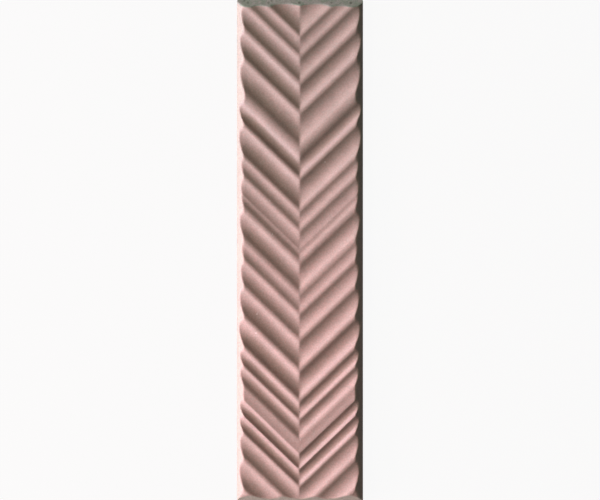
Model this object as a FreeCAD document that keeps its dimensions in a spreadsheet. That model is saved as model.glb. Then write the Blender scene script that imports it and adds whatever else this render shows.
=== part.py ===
import FreeCAD, Part
import math
import os
from enum import IntEnum
from typing import NamedTuple

import Sketcher

# Chevron wall tile: one pressed and fired piece, in millimetres.
# It lies on its back with its long side along Y. The origin is the middle of the back and +Z points out of
# the glazed face. The face is a run of rounded crests and hollow flutes that fall from both long edges to
# the centre line, where they meet in a mitre. Bevels run round the face, steeper and deeper at the ends
# than along the sides, and a shallow key pattern is sunk into the back for the adhesive.
# One half is drawn, from the centre line to the right edge, and mirrored. The flutes are rounds seen square
# across, so their profile is drawn on an upright plane that is turned by the chevron's angle.

SIZES = {
    "tile_width": 75.0,
    "tile_length": 300.0,
    "tile_thickness": 10.0,
    "side_bevel_drop": 4.2,
    "side_bevel_inset": 4.2,
    "end_bevel_drop": 6.4,
    "end_bevel_inset": 4.6,
    "chevron_angle": 44.0,
    "first_crest_inset": 2.8,
    "first_crest_drop": 0.3,
    "first_crest_radius": 2.0,
    "cut_overrun": 5.0,
    "key_depth": 0.7,
    "key_rim": 5.0,
    "key_rib": 2.5,
    "key_columns": 3,
    "key_rows": 12,
}


class Flute(NamedTuple):
    """A flute and the crest on its lower side, in the order in which they lie down the centre line."""

    width: float
    floor_depth: float
    crest_drop: float
    crest_radius: float


# The face has the uneven rhythm of a hand-cut master, so every flute has a width, from crest to crest
# square across, and a depth of its own. Depths and drops are measured from the tile's top plane.
FLUTES = (
    Flute(width=14.2, floor_depth=2.40, crest_drop=0.40, crest_radius=2.6),
    Flute(width=8.4, floor_depth=1.40, crest_drop=0.50, crest_radius=3.3),
    Flute(width=11.5, floor_depth=2.20, crest_drop=0.65, crest_radius=3.4),
    Flute(width=12.7, floor_depth=2.85, crest_drop=0.70, crest_radius=3.1),
    Flute(width=15.7, floor_depth=2.60, crest_drop=0.05, crest_radius=6.3),
    Flute(width=12.5, floor_depth=3.00, crest_drop=0.75, crest_radius=2.5),
    Flute(width=13.8, floor_depth=3.05, crest_drop=0.70, crest_radius=2.9),
    Flute(width=8.4, floor_depth=1.65, crest_drop=0.55, crest_radius=3.3),
    Flute(width=8.2, floor_depth=1.80, crest_drop=1.35, crest_radius=1.3),
    Flute(width=5.3, floor_depth=1.45, crest_drop=0.40, crest_radius=4.1),
    Flute(width=13.5, floor_depth=2.40, crest_drop=0.35, crest_radius=4.6),
    Flute(width=8.4, floor_depth=1.15, crest_drop=0.20, crest_radius=3.2),
    Flute(width=11.3, floor_depth=1.75, crest_drop=0.20, crest_radius=3.1),
    Flute(width=13.0, floor_depth=2.25, crest_drop=0.05, crest_radius=2.9),
    Flute(width=13.0, floor_depth=2.70, crest_drop=0.05, crest_radius=2.3),
    Flute(width=8.2, floor_depth=2.00, crest_drop=0.40, crest_radius=1.5),
    Flute(width=9.1, floor_depth=1.90, crest_drop=0.10, crest_radius=3.7),
    Flute(width=5.3, floor_depth=0.30, crest_drop=0.05, crest_radius=0.6),
    Flute(width=6.8, floor_depth=2.05, crest_drop=0.10, crest_radius=0.7),
    Flute(width=7.4, floor_depth=2.10, crest_drop=0.30, crest_radius=1.6),
    Flute(width=10.8, floor_depth=1.95, crest_drop=0.20, crest_radius=3.0),
    Flute(width=13.1, floor_depth=2.30, crest_drop=0.15, crest_radius=2.3),
    Flute(width=14.7, floor_depth=2.20, crest_drop=0.25, crest_radius=2.0),
)

NODE = "chevron_tile"


class At(IntEnum):
    """Places on a line or arc, and a sketch's own origin and upright axis, as the sketcher counts them."""

    START = 1
    END = 2
    CENTRE = 3
    ORIGIN = -1
    Y_AXIS = -2


class Crest(NamedTuple):
    """The round top of a crest in the profile, and the sheet's words for its sizes."""

    across: float
    top: float
    radius: float
    drop_word: str
    radius_word: str

    def centre(self):
        """Return the centre of the round, below the top."""
        return FreeCAD.Vector(self.across, self.top - self.radius, 0)


def make_sheet(doc):
    """Write every driving size into the sheet, with its name as the alias."""
    sheet = doc.addObject("Spreadsheet::Sheet", "sizes")
    sizes = dict(SIZES)
    for number, flute in enumerate(FLUTES, start=1):
        for field, value in flute._asdict().items():
            sizes[f"flute_{number}_{field}"] = value
    for row, (name, value) in enumerate(sizes.items(), start=1):
        sheet.set(f"A{row}", name)
        sheet.set(f"B{row}", str(value))
        sheet.setAlias(f"B{row}", name)
    doc.recompute()
    return sheet


def origin_feature(body, role):
    """Return the body's own origin plane or axis of that role."""
    for feature in body.Origin.OriginFeatures:
        if feature.Role == role:
            return feature
    raise ValueError(f"the body has no {role}")


def new_sketch(body, name, role):
    """Add a sketch on one of the body's origin planes."""
    sketch = body.newObject("Sketcher::SketchObject", name)
    sketch.AttachmentSupport = [(origin_feature(body, role), "")]
    sketch.MapMode = "FlatFace"
    return sketch


def rule(kind, *places, ties=None):
    """Return a constraint with the expression that ties its value to the sheet, if it has one."""
    return Sketcher.Constraint(kind, *places), ties


def constrain(sketch, rules):
    """Add all the rules to the sketch in one step and tie their values to the sheet."""
    first = sketch.ConstraintCount
    sketch.addConstraint([constraint for constraint, _ in rules])
    for index, (_, ties) in enumerate(rules, start=first):
        if ties:
            sketch.setExpression(f"Constraints[{index}]", ties)


def draw_lines(sketch, corners):
    """Draw straight lines from corner to corner and return their numbers."""
    return [sketch.addGeometry(Part.LineSegment(begin, finish), False)
            for begin, finish in zip(corners, corners[1:])]


def draw_rectangle(sketch, left, low, width, length, ties):
    """Draw a level rectangle whose corner is left of and below the origin; ties are for its four sizes."""
    right, high = left + width, low + length
    corners = [FreeCAD.Vector(left, low, 0), FreeCAD.Vector(right, low, 0),
               FreeCAD.Vector(right, high, 0), FreeCAD.Vector(left, high, 0)]
    sides = draw_lines(sketch, corners + corners[:1])
    rules = [rule("Coincident", side, At.END, following, At.START)
             for side, following in zip(sides, sides[1:] + sides[:1])]
    rules += [rule(way, side) for way, side in zip(("Horizontal", "Vertical") * 2, sides)]
    lower, upright = sides[:2]
    if ties["left"]:
        rules.append(rule("DistanceX", lower, At.START, At.ORIGIN, At.START, -left, ties=ties["left"]))
    else:
        rules.append(rule("PointOnObject", lower, At.START, At.Y_AXIS))
    rules += [
        rule("DistanceY", lower, At.START, At.ORIGIN, At.START, -low, ties=ties["low"]),
        rule("DistanceX", lower, At.START, lower, At.END, width, ties=ties["width"]),
        rule("DistanceY", upright, At.START, upright, At.END, length, ties=ties["length"]),
    ]
    constrain(sketch, rules)


def make_slab(body, size):
    """Pad half of the plain slab, from the centre line to the right edge."""
    width, length = size("tile_width"), size("tile_length")
    outline = new_sketch(body, "half_outline", "XY_Plane")
    draw_rectangle(outline, 0, -length / 2, width / 2, length, {
        "left": None,
        "low": "sizes.tile_length / 2",
        "width": "sizes.tile_width / 2",
        "length": "sizes.tile_length",
    })
    slab = body.newObject("PartDesign::Pad", "slab")
    slab.Profile = outline
    slab.setExpression("Length", "sizes.tile_thickness")
    return slab


def make_side_bevel(doc, body, slab):
    """Bevel the top edge that lies on the tile's long side, down to the side wall."""
    doc.recompute()
    box = slab.Shape.BoundBox
    slack = box.ZLength / 100
    long_edge = [f"Edge{number}" for number, edge in enumerate(slab.Shape.Edges, start=1)
                 if edge.BoundBox.ZMin > box.ZMax - slack and edge.BoundBox.XMin > box.XMax - slack]
    bevel = body.newObject("PartDesign::Chamfer", "side_bevel")
    bevel.Base = (slab, long_edge)
    bevel.ChamferType = "Two distances"
    bevel.setExpression("Size", "sizes.side_bevel_drop")
    bevel.setExpression("Size2", "sizes.side_bevel_inset")
    return bevel


def draw_end_wedge(sketch, size, way):
    """Draw the wedge that is cut off one end; way is 1 for the upper end and -1 for the lower one."""
    end, top = way * size("tile_length") / 2, size("tile_thickness")
    inset, drop = size("end_bevel_inset"), size("end_bevel_drop")
    corner = FreeCAD.Vector(end, top, 0)
    inner = FreeCAD.Vector(end - way * inset, top, 0)
    foot = FreeCAD.Vector(end, top - drop, 0)
    slope, upright, level = draw_lines(sketch, [inner, foot, corner, inner])
    from_middle = [(At.ORIGIN, At.START), (upright, At.END)][::way]
    from_inner = [(slope, At.START), (upright, At.END)][::way]
    constrain(sketch, [
        rule("Coincident", slope, At.END, upright, At.START),
        rule("Coincident", upright, At.END, level, At.START),
        rule("Coincident", level, At.END, slope, At.START),
        rule("Vertical", upright),
        rule("Horizontal", level),
        rule("DistanceX", *from_middle[0], *from_middle[1], abs(end), ties="sizes.tile_length / 2"),
        rule("DistanceX", *from_inner[0], *from_inner[1], inset, ties="sizes.end_bevel_inset"),
        rule("DistanceY", At.ORIGIN, At.START, upright, At.END, top, ties="sizes.tile_thickness"),
        rule("DistanceY", upright, At.START, upright, At.END, drop, ties="sizes.end_bevel_drop"),
    ])


def make_end_bevels(body, size):
    """Cut the bevels of both ends, down to the end walls."""
    wedges = new_sketch(body, "end_wedges", "YZ_Plane")
    draw_end_wedge(wedges, size, 1)
    draw_end_wedge(wedges, size, -1)
    bevels = body.newObject("PartDesign::Pocket", "end_bevels")
    bevels.Profile = wedges
    bevels.Type = "ThroughAll"
    bevels.SideType = "Symmetric"
    return bevels


def lay_crests(size):
    """Lay crests across the half from its upper end, starting the flutes again if they run out."""
    slant = math.radians(size("chevron_angle"))
    half_length, half_width = size("tile_length") / 2, size("tile_width") / 2
    lowest = -half_length * math.cos(slant) - half_width * math.sin(slant)
    across = (half_length - size("first_crest_inset")) * math.cos(slant)
    words = ["first"]
    crests = []
    while True:
        drop_word, radius_word = f"{words[-1]}_crest_drop", f"{words[-1]}_crest_radius"
        top = size("tile_thickness") - size(drop_word)
        crests.append(Crest(across, top, size(radius_word), drop_word, radius_word))
        if across < lowest:
            return crests, words[1:]
        words.append(f"flute_{len(crests[:-1]) % len(FLUTES) + 1}")
        across -= size(f"{words[-1]}_width")


def flute_round(before, after, floor):
    """Return the centre and radius of the hollow that touches both crest rounds and dips to the floor."""
    width = before.across - after.across
    fall_before, fall_after = before.top - floor, after.top - floor
    ratio = fall_after / fall_before
    part_before = (2 * before.radius - fall_before) * fall_before
    part_after = (2 * after.radius - fall_after) * fall_after
    product = width ** 2 + ratio * part_before - part_after
    reach = product / (width + math.sqrt(width ** 2 - (1 - ratio) * product))
    radius = (reach ** 2 - part_before) / (2 * fall_before)
    return FreeCAD.Vector(before.across - reach, floor + radius, 0), radius


def arc(centre, radius, begin, finish):
    """Return the arc that runs anticlockwise from the point begin to the point finish."""
    first = math.atan2(begin.y - centre.y, begin.x - centre.x)
    last = math.atan2(finish.y - centre.y, finish.x - centre.x)
    if last < first:
        last += 2 * math.pi
    return Part.ArcOfCircle(Part.Circle(centre, FreeCAD.Vector(0, 0, 1), radius), first, last)


def draw_relief(sketch, size):
    """Draw the outline of what is hollowed out of the face, with a round for each crest and each flute."""
    crests, flutes = lay_crests(size)
    thickness = size("tile_thickness")
    floors = [thickness - size(f"{word}_floor_depth") for word in flutes]
    rounds = [flute_round(*crests[i:i + 2], floor) for i, floor in enumerate(floors)]
    touches = [[crest.centre() + (centre - crest.centre()).normalize() * crest.radius
                for crest in crests[i:i + 2]] for i, (centre, _) in enumerate(rounds)]
    first, last = [FreeCAD.Vector(crest.across, crest.top, 0) for crest in (crests[0], crests[-1])]
    above = thickness + size("cut_overrun")
    beyond = size("tile_length") / 2

    crest_ends = zip([first] + [pair[1] for pair in touches], [pair[0] for pair in touches] + [last])
    crest_arcs = [sketch.addGeometry(arc(crest.centre(), crest.radius, *ends), False)
                  for crest, ends in zip(crests, crest_ends)]
    flute_arcs = [sketch.addGeometry(arc(centre, radius, lower, upper), False)
                  for (centre, radius), (upper, lower) in zip(rounds, touches)]
    lows = [sketch.addGeometry(Part.Point(FreeCAD.Vector(centre.x, floor, 0)), True)
            for (centre, _), floor in zip(rounds, floors)]
    land, upper_end, lid, lower_end = draw_lines(
        sketch, [first, FreeCAD.Vector(beyond, first.y, 0), FreeCAD.Vector(beyond, above, 0),
                 FreeCAD.Vector(last.x, above, 0), last])

    rules = [
        rule("Tangent", land, At.START, crest_arcs[0], At.START),
        rule("Coincident", land, At.END, upper_end, At.START),
        rule("Coincident", upper_end, At.END, lid, At.START),
        rule("Coincident", lid, At.END, lower_end, At.START),
        rule("Perpendicular", lower_end, At.END, crest_arcs[-1], At.END),
        rule("Horizontal", land),
        rule("Vertical", upper_end),
        rule("Horizontal", lid),
        rule("Vertical", lower_end),
        rule("DistanceX", At.ORIGIN, At.START, upper_end, At.START, beyond, ties="sizes.tile_length / 2"),
        rule("DistanceY", At.ORIGIN, At.START, lid, At.START, above,
             ties="sizes.tile_thickness + sizes.cut_overrun"),
        rule("DistanceX", At.ORIGIN, At.START, crest_arcs[0], At.CENTRE, first.x,
             ties="(sizes.tile_length / 2 - sizes.first_crest_inset) * cos(sizes.chevron_angle * 1 deg)"),
    ]
    for crest, crest_arc in zip(crests, crest_arcs):
        rules += [
            rule("Radius", crest_arc, crest.radius, ties=f"sizes.{crest.radius_word}"),
            rule("DistanceY", At.ORIGIN, At.START, crest_arc, At.CENTRE, crest.centre().y,
                 ties=f"sizes.tile_thickness - sizes.{crest.drop_word} - sizes.{crest.radius_word}"),
        ]
    for i, (word, flute, low) in enumerate(zip(flutes, flute_arcs, lows)):
        before, after = crest_arcs[i:i + 2]
        rules += [
            rule("Tangent", before, At.END, flute, At.END),
            rule("Tangent", flute, At.START, after, At.START),
            rule("PointOnObject", low, At.START, flute),
            rule("Vertical", low, At.START, flute, At.CENTRE),
            rule("DistanceX", after, At.CENTRE, before, At.CENTRE, crests[i].across - crests[i + 1].across,
                 ties=f"sizes.{word}_width"),
            rule("DistanceY", At.ORIGIN, At.START, low, At.START, floors[i],
                 ties=f"sizes.tile_thickness - sizes.{word}_floor_depth"),
        ]
    constrain(sketch, rules)


def make_flutes(body, size):
    """Run the flutes through the half at the chevron's angle."""
    relief = new_sketch(body, "relief_profile", "YZ_Plane")
    relief.AttachmentOffset = FreeCAD.Placement(
        FreeCAD.Vector(0, 0, 0), FreeCAD.Rotation(FreeCAD.Vector(0, 1, 0), size("chevron_angle")))
    relief.setExpression("AttachmentOffset.Rotation.Angle", "sizes.chevron_angle")
    draw_relief(relief, size)
    flutes = body.newObject("PartDesign::Pocket", "flutes")
    flutes.Profile = relief
    flutes.Type = "ThroughAll"
    flutes.SideType = "Symmetric"
    return flutes


def mirror_half(doc, body):
    """Mirror the fluted half in the centre line."""
    doc.recompute()
    whole = body.newObject("PartDesign::Mirrored", "whole_tile")
    whole.TransformMode = "Whole shape"
    whole.MirrorPlane = (origin_feature(body, "YZ_Plane"), [""])
    body.Tip = whole
    return whole


def make_key(body, size):
    """Sink the key pattern into the back: a recess in one corner, repeated in columns and rows."""
    rim, rib = size("key_rim"), size("key_rib")
    columns, rows = size("key_columns"), size("key_rows")
    width = (size("tile_width") - 2 * rim + rib) / columns - rib
    length = (size("tile_length") - 2 * rim + rib) / rows - rib
    width_rule = "(sizes.tile_width - 2 * sizes.key_rim + sizes.key_rib) / sizes.key_columns"
    length_rule = "(sizes.tile_length - 2 * sizes.key_rim + sizes.key_rib) / sizes.key_rows"
    left = rim - size("tile_width") / 2
    low = rim - size("tile_length") / 2

    recess = new_sketch(body, "key_recess", "XY_Plane")
    draw_rectangle(recess, left, low, width, length, {
        "left": "sizes.tile_width / 2 - sizes.key_rim",
        "low": "sizes.tile_length / 2 - sizes.key_rim",
        "width": f"{width_rule} - sizes.key_rib",
        "length": f"{length_rule} - sizes.key_rib",
    })

    key = body.newObject("PartDesign::Pocket", "key")
    key.Profile = recess
    key.Reversed = True
    key.setExpression("Length", "sizes.key_depth")

    grid = body.newObject("PartDesign::LinearPattern", "key_grid")
    grid.Originals = [key]
    grid.Direction = (recess, ["H_Axis"])
    grid.Mode = "Spacing"
    grid.setExpression("Offset", width_rule)
    grid.setExpression("Occurrences", "sizes.key_columns")
    grid.Direction2 = (recess, ["V_Axis"])
    grid.Mode2 = "Spacing"
    grid.setExpression("Offset2", length_rule)
    grid.setExpression("Occurrences2", "sizes.key_rows")
    body.Tip = grid
    return grid


def check(doc, body, cuts, whole, key):
    """Stop if a step failed, if a cut removed nothing, or if the tile isn't one sound solid."""
    for item in doc.Objects:
        if "Invalid" in item.State or "Error" in item.State:
            raise RuntimeError(f"{item.Name} failed: {item.getStatusString()}")
    for before, after in zip(cuts, cuts[1:]):
        if not after.Shape.Volume < before.Shape.Volume:
            raise RuntimeError(f"{after.Name} removed nothing")
    if not whole.Shape.Volume > cuts[-1].Shape.Volume or not key.Shape.Volume < whole.Shape.Volume:
        raise RuntimeError("the mirror or the key pattern changed nothing")
    if body.Shape.isNull() or not body.Shape.isValid() or len(body.Shape.Solids) != 1:
        raise RuntimeError(f"{body.Label} is not one sound solid")


def main():
    """Build the tile and write its shape."""
    doc = FreeCAD.newDocument("chevron_wall_tile")
    size = make_sheet(doc).get
    body = doc.addObject("PartDesign::Body", "tile")
    body.Label = NODE

    slab = make_slab(body, size)
    side_bevel = make_side_bevel(doc, body, slab)
    end_bevels = make_end_bevels(body, size)
    flutes = make_flutes(body, size)
    whole = mirror_half(doc, body)
    key = make_key(body, size)
    doc.recompute()

    check(doc, body, [slab, side_bevel, end_bevels, flutes], whole, key)
    os.makedirs("parts", exist_ok=True)
    body.Shape.exportStep(f"parts/{body.Label}.step")
    print(f"{body.Label}: {body.Shape.Volume / 1000:.1f} cm3, {len(body.Shape.Faces)} faces")


main()
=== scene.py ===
"""Looks of the chevron wall tile: its glazed relief face, bare ends, fired back, light and camera.

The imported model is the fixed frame. One piece, the glazed tile, stands for its one node. The tile's face
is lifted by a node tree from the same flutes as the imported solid, with the softer edges, the slight dish,
bow and ripple and the small flaws that glaze and firing give it. Its bevels run in a little further than
the solid's. Sizes are in millimetres unless a name says otherwise.
"""
import logging
import math
from dataclasses import dataclass, field
from enum import Enum
from typing import NamedTuple

import bpy
import numpy as np
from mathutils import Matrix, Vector
from mathutils.geometry import delaunay_2d_cdt

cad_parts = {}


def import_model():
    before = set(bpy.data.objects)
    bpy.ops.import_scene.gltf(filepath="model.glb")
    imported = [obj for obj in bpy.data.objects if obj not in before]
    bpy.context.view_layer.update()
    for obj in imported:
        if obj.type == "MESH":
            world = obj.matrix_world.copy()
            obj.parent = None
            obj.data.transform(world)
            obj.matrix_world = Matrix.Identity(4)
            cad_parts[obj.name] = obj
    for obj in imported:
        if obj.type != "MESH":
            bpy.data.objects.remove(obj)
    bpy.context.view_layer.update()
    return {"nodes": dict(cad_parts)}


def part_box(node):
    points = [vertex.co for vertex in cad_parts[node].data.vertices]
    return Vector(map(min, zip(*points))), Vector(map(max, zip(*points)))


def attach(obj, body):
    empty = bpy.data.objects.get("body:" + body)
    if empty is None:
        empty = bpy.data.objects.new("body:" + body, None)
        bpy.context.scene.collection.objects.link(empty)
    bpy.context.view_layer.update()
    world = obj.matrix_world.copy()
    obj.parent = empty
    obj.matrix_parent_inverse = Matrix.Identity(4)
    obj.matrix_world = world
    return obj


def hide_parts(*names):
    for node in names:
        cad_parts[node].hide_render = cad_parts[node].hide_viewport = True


NODE = "chevron_tile"
MM = 0.001
WHITE = (1.0, 1.0, 1.0, 1.0)

# Vertices of neighbouring rows that lie this close are one, and so are those of the flat fill.
SAME_ROW = 1e-9
SAME_POINT = 1e-7

# The kind of flat fill that stays within its outer loop.
FILL_WITHIN = 1

# Most values of a noise lie in this band. A second noise read this far off doesn't follow the first.
NOISE_BAND = (0.3, 0.7)
FAR_OFF = (400.0, 200.0, 100.0)

# Shares of the specks and of the pits in the grain's height, and a fleck's soft edge, in its own radii.
SPECK_HEIGHT = 0.35
PIT_HEIGHT = 0.65
FLECK_EDGE = (1.3, 0.4)

log = logging.getLogger("chevron_wall_tile")

Tree = bpy.types.NodeTree
Socket = bpy.types.NodeSocket
Sockets = bpy.types.bpy_prop_collection
Band = tuple[float, float]
Colour = tuple[float, float, float]


class Flute(NamedTuple):
    """A flute and the crest on its lower side, in the order in which they lie down the centre line."""

    width: float
    floor_depth: float
    crest_drop: float
    crest_radius: float


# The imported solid's own flutes: width from crest to crest, square across, the floor's depth under the top
# plane, and the crest's drop under that plane and its round.
FLUTES = (
    Flute(14.2, 2.40, 0.40, 2.6),
    Flute(8.4, 1.40, 0.50, 3.3),
    Flute(11.5, 2.20, 0.65, 3.4),
    Flute(12.7, 2.85, 0.70, 3.1),
    Flute(15.7, 2.60, 0.05, 6.3),
    Flute(12.5, 3.00, 0.75, 2.5),
    Flute(13.8, 3.05, 0.70, 2.9),
    Flute(8.4, 1.65, 0.55, 3.3),
    Flute(8.2, 1.80, 1.35, 1.3),
    Flute(5.3, 1.45, 0.40, 4.1),
    Flute(13.5, 2.40, 0.35, 4.6),
    Flute(8.4, 1.15, 0.20, 3.2),
    Flute(11.3, 1.75, 0.20, 3.1),
    Flute(13.0, 2.25, 0.05, 2.9),
    Flute(13.0, 2.70, 0.05, 2.3),
    Flute(8.2, 2.00, 0.40, 1.5),
    Flute(9.1, 1.90, 0.10, 3.7),
    Flute(5.3, 0.30, 0.05, 0.6),
    Flute(6.8, 2.05, 0.10, 0.7),
    Flute(7.4, 2.10, 0.30, 1.6),
    Flute(10.8, 1.95, 0.20, 3.0),
    Flute(13.1, 2.30, 0.15, 2.3),
    Flute(14.7, 2.20, 0.25, 2.0),
)
FIRST_CREST_INSET = 2.8
FIRST_CREST_DROP = 0.3
FIRST_CREST_RADIUS = 2.0
CHEVRON_ANGLE = math.radians(44.0)


def put(name: str, data: bpy.types.ID) -> bpy.types.Object:
    """Put an object with its data into the scene.

    Args:
        name: The object's name.
        data: Its mesh, light or camera.

    Returns:
        The object.
    """
    item = bpy.data.objects.new(name, data)
    bpy.context.scene.collection.objects.link(item)
    return item


def empty_tree(owner: bpy.types.Material | bpy.types.World) -> Tree:
    """Switch on the nodes of a material or a world and clear them.

    Args:
        owner: The material or the world.

    Returns:
        Its node tree, emptied.
    """
    owner.use_nodes = True
    owner.node_tree.nodes.clear()
    return owner.node_tree


class Surface(Enum):
    """Sides of the tile that are made as sheets of their own."""

    FACE = "face"
    BACK = "back"


@dataclass(frozen=True)
class Bevel:
    """A bevel of the face: how far it drops from the top plane and how far it runs in from the wall."""

    drop: float
    inset: float

    @property
    def slope(self) -> float:
        """Rise of the bevel for each millimetre that it runs in."""
        return self.drop / self.inset


@dataclass(frozen=True)
class Stock:
    """The tile's outer size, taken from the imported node."""

    width: float
    length: float
    top: float

    @classmethod
    def from_frame(cls) -> "Stock":
        """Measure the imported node; its highest crest lies a known drop under the top plane.

        Returns:
            The tile's outer size, in millimetres.
        """
        low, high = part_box(NODE)
        least_drop = min(flute.crest_drop for flute in FLUTES)
        size = (Vector(high) - Vector(low)) / MM
        return cls(width=size.x, length=size.y, top=high[2] / MM + least_drop)


class Crest(NamedTuple):
    """A crest of the profile: its place square across the flutes, its top and its round."""

    across: float
    top: float
    radius: float


@dataclass
class Relief:
    """The profile of the flutes, square across the chevron's arm.

    The glaze fill is the width over which glaze evens the profile out, and the bell reach is how many
    such widths count on either side of a point. The margin is how far the profile runs on past the tile.
    """

    stock: Stock
    step: float = 0.05
    glaze_fill: float = 0.45
    bell_reach: float = 3.0
    turn_per_row: float = math.radians(5.5)
    longest_row: float = 1.1
    margin: float = 1.0

    def __post_init__(self) -> None:
        """Lay the crests and the hollow rounds between them."""
        self.cosine = math.cos(CHEVRON_ANGLE)
        self.slope = math.tan(CHEVRON_ANGLE)
        half_length, half_width = self.stock.length / 2, self.stock.width / 2
        self.highest = half_length * self.cosine
        self.lowest = -self.highest - half_width * math.sin(CHEVRON_ANGLE)
        crest = Crest((half_length - FIRST_CREST_INSET) * self.cosine,
                      self.stock.top - FIRST_CREST_DROP, FIRST_CREST_RADIUS)
        self.crests = [crest]
        self.floors = []
        while crest.across > self.lowest:
            flute = FLUTES[len(self.floors) % len(FLUTES)]
            crest = Crest(crest.across - flute.width, self.stock.top - flute.crest_drop, flute.crest_radius)
            self.crests.append(crest)
            self.floors.append(self.stock.top - flute.floor_depth)
        self.arcs = self._arcs()

    def _arcs(self) -> list[tuple[float, float, float, float, int]]:
        """Return the arcs down the profile.

        Returns:
            For each arc the place where it begins and ends across the flutes, its centre's place and
            height, and its radius, which is positive for a crest and negative for a hollow.
        """
        arcs = []
        begin = self.crests[0].across
        for before, after, floor in zip(self.crests, self.crests[1:], self.floors):
            centre, height, radius = self._hollow(before, after, floor)
            upper = self._touch(before, centre, height)
            lower = self._touch(after, centre, height)
            arcs.append((begin, upper, before.across, before.top - before.radius, before.radius))
            arcs.append((upper, lower, centre, height, -radius))
            begin = lower
        last = self.crests[-1]
        arcs.append((begin, last.across, last.across, last.top - last.radius, last.radius))
        return arcs

    @staticmethod
    def _hollow(before: Crest, after: Crest, floor: float) -> tuple[float, float, float]:
        """Find the hollow that touches two crests and dips to the floor.

        Args:
            before: The crest on its upper side.
            after: The crest on its lower side.
            floor: The height of its lowest point.

        Returns:
            Its centre's place across the flutes and height, and its radius.
        """
        width = before.across - after.across
        fall_before, fall_after = before.top - floor, after.top - floor
        ratio = fall_after / fall_before
        part_before = (2 * before.radius - fall_before) * fall_before
        part_after = (2 * after.radius - fall_after) * fall_after
        product = width ** 2 + ratio * part_before - part_after
        reach = product / (width + math.sqrt(width ** 2 - (1 - ratio) * product))
        radius = (reach ** 2 - part_before) / (2 * fall_before)
        return before.across - reach, floor + radius, radius

    @staticmethod
    def _touch(crest: Crest, centre: float, height: float) -> float:
        """Return where the crest's round touches the hollow, across the flutes."""
        away = math.hypot(centre - crest.across, height - crest.top + crest.radius)
        return crest.across + (centre - crest.across) / away * crest.radius

    def heights(self, across: np.ndarray) -> np.ndarray:
        """Work out the height of the face before the glaze evens it out.

        Args:
            across: Places across the flutes.

        Returns:
            The height at each place.
        """
        heights = np.full_like(across, self.crests[0].top)
        for begin, finish, centre, base, radius in self.arcs:
            inside = (across <= begin) & (across > finish)
            rise = np.sqrt(radius ** 2 - (across[inside] - centre) ** 2)
            heights[inside] = base + math.copysign(1.0, radius) * rise
        return heights

    def rows(self) -> np.ndarray:
        """Choose the mesh's rows, closer together where the face curves.

        Returns:
            Their places across the flutes, from the highest down.
        """
        places = [self.highest + self.margin, self.crests[0].across]
        for begin, finish, centre, _, radius in self.arcs:
            first, last = (math.asin((place - centre) / abs(radius)) for place in (begin, finish))
            count = max(math.ceil((first - last) / self.turn_per_row),
                        math.ceil((begin - finish) / self.longest_row), 1)
            turns = np.linspace(first, last, count + 1)[1:]
            places.extend(centre + abs(radius) * np.sin(turns))
        return np.array(places)

    def table(self) -> bpy.types.Object:
        """Make the profile as a chain of points at even steps, for the face's tree to read.

        The glaze runs off the crests into the hollows, which a bell-shaped average stands for.

        Returns:
            An object with the chain, which isn't put into the scene.
        """
        reach = math.ceil(self.bell_reach * self.glaze_fill / self.step)
        bell = np.exp(-0.5 * (np.arange(-reach, reach + 1) * self.step / self.glaze_fill) ** 2)
        across = np.arange(self.lowest - self.margin, self.highest + self.margin, self.step)
        heights = np.pad(self.heights(across), reach, mode="edge")
        heights = np.convolve(heights, bell / bell.sum(), mode="valid")
        points = np.stack([across, np.zeros_like(across), heights], axis=1)
        mesh = bpy.data.meshes.new("relief_profile")
        mesh.from_pydata(points.tolist(), [(i, i + 1) for i in range(len(points) - 1)], [])
        return bpy.data.objects.new("relief_profile", mesh)


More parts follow.
